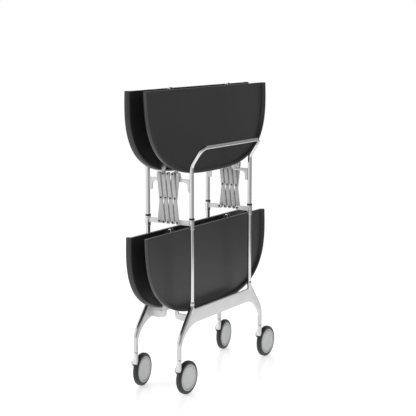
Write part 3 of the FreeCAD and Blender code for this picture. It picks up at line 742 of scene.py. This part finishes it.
def cheek_shape():
    """Flat plate from the hood down to the axle, beside the wheel."""
    front, back = -5.5, TRAIL + 2
    points = [(front, HOOD_BASE_Z), (front, HOOD_BASE_Z + 7), (8.0, HOOD_BASE_Z + 11), (back, WHEEL_R + 9),
              (back, WHEEL_R - 9), (TRAIL - 15, WHEEL_R - 4), (9.0, WHEEL_R + 12)]
    outline = bend(points, [1.5, 1.5, 10.0, 3.0, 3.0, 8.0, 8.0], 6)
    return moved(plate(outline, CHEEK_X0, CHEEK_X1, 1.0, 3), lambda v: Vector((v.y, v.x, v.z)))


def about_axle(shape):
    """From axle coordinates, where the axle lies along X, to the castor's place."""
    return moved(shape, lambda v: Vector((v.x, v.y + TRAIL, v.z + WHEEL_R)))


FORK_SHAPE = joined(hood_shape(), cheek_shape(),
                    about_axle(cylinder((-15.2, 0, 0), (1, 0, 0), 9.2, 5.6, 1.2)),
                    cylinder((0, 0, STEM_JOINT_Z - 1.0), (0, 0, 1), 4.0, 32.0, 0.8, 28))
AXLE_SHAPE = about_axle(joined(cylinder((-14, 0, 0), (1, 0, 0), 4.0, 18.6, 0.4, 28),
                               cylinder((-13.9, 0, 0), (-1, 0, 0), 6.0, 1.7, 1.0, 6)))
TYRE_SHAPE = about_axle(lathe([
    (-7.2, 39.6), (-7.6, 40.4), (-8.0, 42.0), (-8.0, 44.8), (-7.6, 46.6), (-6.8, 48.1), (-5.6, 49.2),
    (-4.0, 49.8), (-2.0, 50.0), (2.0, 50.0), (4.0, 49.8), (5.6, 49.2), (6.8, 48.1), (7.6, 46.6),
    (8.0, 44.8), (8.0, 42.0), (7.6, 40.4), (7.2, 39.6)], 112))
HUB_SHAPE = about_axle(lathe([
    (5.0, 0.0), (5.0, 4.1), (-8.0, 4.1), (-8.0, 11.0), (-7.4, 11.9), (-6.2, 12.4), (-6.0, 13.5),
    (-6.0, 33.0), (-6.3, 34.0), (-7.2, 34.8), (-7.8, 35.4), (-8.0, 36.4), (-8.0, 38.6), (-7.6, 39.4),
    (-7.0, 39.6), (7.0, 39.6), (8.0, 39.5), (8.9, 39.0), (9.2, 38.2), (9.1, 37.2), (8.7, 36.3),
    (8.0, 35.6), (7.0, 35.3), (4.4, 35.2), (4.2, 34.6), (4.4, 33.6), (7.0, 33.4), (7.9, 32.9),
    (8.2, 32.0), (8.1, 30.0), (7.6, 20.0), (7.4, 8.0), (7.35, 0.0)], 112, closed=False))


CASTOR_PARTS = (("fork", FORK_SHAPE, FORK, "castor_fork", "_castor_fork"),
                ("axle", AXLE_SHAPE, STEEL, "axle_steel", "_castor_fork"),
                ("tyre", TYRE_SHAPE, TYRE, "castor_tyre", "_wheel"),
                ("hub", HUB_SHAPE, HUB, "castor_hub", "_wheel"))
for end, sx in ENDS:
    for side, sy in SIDES:
        corner = end + "_" + side
        turn = Matrix.Rotation(-math.radians(YAW[end]), 4, "Z")
        place = Matrix.Translation((sx * POST_X, sy * STEM_Y, 0)) @ turn
        for kind, shape, mat, slot, body in CASTOR_PARTS:
            name = corner + "_castor_" + kind
            piece = make_object(name + "_detail", *moved(shape, lambda v: place @ v), mat, 45)
            finish_piece(piece, corner + body, slot, name)


# ---- camera, light and floor --------------------------------------------------------
def look(obj, place, target):
    """Stand a camera or a light somewhere, turned to a point."""
    obj.location = place
    obj.rotation_mode = "QUATERNION"
    obj.rotation_quaternion = (Vector(target) - Vector(place)).to_track_quat("-Z", "Y")


def area_light(name, place, target, size, power):
    """Square light that shines on the object but isn't mirrored in the chrome."""
    data = bpy.data.lights.new(name, "AREA")
    data.shape = "SQUARE"
    data.size = size
    data.energy = power
    obj = bpy.data.objects.new(name, data)
    obj.visible_glossy = False
    bpy.context.scene.collection.objects.link(obj)
    look(obj, place, target)


# Sizes and places from here on are in metres.
AZIMUTH, ELEVATION, DISTANCE, LENS = math.radians(31.88), math.radians(8.84), 3.541, 99.67
TARGET = Vector((0.0200, 0.0125, 0.5242))
FLOOR_SIZE, FLOOR_DROP, FLOOR_GLOW = 3.6, 0.0005, 0.50
camera = bpy.data.objects.new("camera", bpy.data.cameras.new("camera"))
bpy.context.scene.collection.objects.link(camera)
away = Vector((math.sin(AZIMUTH) * math.cos(ELEVATION), -math.cos(AZIMUTH) * math.cos(ELEVATION),
               math.sin(ELEVATION)))
look(camera, TARGET + away * DISTANCE, TARGET)
camera.data.lens = LENS
camera.data.sensor_width = 36.0
camera.data.clip_end = 100
bpy.context.scene.camera = camera
bpy.context.scene.view_settings.view_transform = "Standard"

floor_mat = new_material("studio_floor", (0.80, 0.80, 0.80), 0.10, spread=0.01, bump=0.0,
                         specular=0.35, rough_spread=0.01)
floor_shader = floor_mat.node_tree.nodes["Principled BSDF"]
floor_shader.inputs["Emission Color"].default_value = (1, 1, 1, 1)
floor_shader.inputs["Emission Strength"].default_value = FLOOR_GLOW
bpy.ops.mesh.primitive_plane_add(size=FLOOR_SIZE, location=(0, 0, -FLOOR_DROP))
floor = bpy.context.object
floor.name = "studio_floor"
floor.data.materials.append(floor_mat)


def studio_world():
    """White backdrop for the camera; what the object mirrors is brighter and darker by direction."""
    world = bpy.data.worlds.new("studio")
    bpy.context.scene.world = world
    world.use_nodes = True
    nodes, links = world.node_tree.nodes, world.node_tree.links
    coords = nodes.new("ShaderNodeTexCoord")

    def towards(direction, stops):
        """Brightness by how far a ray points along a direction, from -1 to 1."""
        dot = nodes.new("ShaderNodeVectorMath")
        dot.operation = "DOT_PRODUCT"
        dot.inputs[1].default_value = direction
        links.new(coords.outputs["Generated"], dot.inputs[0])
        spread = nodes.new("ShaderNodeMapRange")
        spread.inputs["From Min"].default_value = -1.0
        links.new(dot.outputs["Value"], spread.inputs["Value"])
        ramp = nodes.new("ShaderNodeValToRGB")
        elements = ramp.color_ramp.elements
        while len(elements) < len(stops):
            elements.new(0.5)
        for element, (place, level) in zip(elements, stops):
            element.position = (place + 1) / 2
            element.color = (level, level, level, 1)
        links.new(spread.outputs["Result"], ramp.inputs["Fac"])
        return ramp.outputs["Color"]

    def combined(operation, first, second):
        maths = nodes.new("ShaderNodeVectorMath")
        maths.operation = operation
        links.new(first, maths.inputs[0])
        links.new(second, maths.inputs[1])
        return maths.outputs["Vector"]

    up = (0.0, 0.0, 1.0)
    side = towards((-0.83, -0.52, 0.20), ((-1.0, 0.40), (-0.4, 0.44), (0.0, 0.60), (0.5, 0.88), (0.8, 1.1),
                                          (0.95, 1.45)))
    back = towards((-0.53, 0.85, 0.0), ((-1.0, 1.0), (0.08, 1.0), (0.25, 0.22), (0.38, 0.22), (0.52, 0.95),
                                        (0.74, 0.95), (0.86, 0.06), (1.0, 0.04)))
    above = towards(up, ((-1.0, 0.0), (-0.04, 0.0), (0.04, 1.0)))
    ceiling = towards(up, ((-1.0, 1.0), (0.60, 1.0), (0.76, 0.06), (1.0, 0.04)))
    level = combined("MULTIPLY", side, combined("MAXIMUM", back, above))
    level = combined("MULTIPLY", level, ceiling)
    sky = nodes["Background"]
    links.new(level, sky.inputs["Color"])
    seen = nodes.new("ShaderNodeBackground")
    seen.inputs["Color"].default_value = (1, 1, 1, 1)
    path = nodes.new("ShaderNodeLightPath")
    mix = nodes.new("ShaderNodeMixShader")
    links.new(path.outputs["Is Camera Ray"], mix.inputs["Fac"])
    links.new(sky.outputs["Background"], mix.inputs[1])
    links.new(seen.outputs["Background"], mix.inputs[2])
    links.new(mix.outputs["Shader"], nodes["World Output"].inputs["Surface"])


studio_world()
area_light("key", (-2.0, -2.8, 2.4), (0, 0, 0.5), 1.6, 22)
area_light("fill", (3.2, -1.4, 1.8), (0, 0, 0.4), 2.0, 28)
area_light("behind", (-2.2, 3.0, 2.2), (0, 0, 0.5), 2.0, 40)
area_light("top", (0, 0.3, 3.4), (0, 0, 0), 2.4, 34)
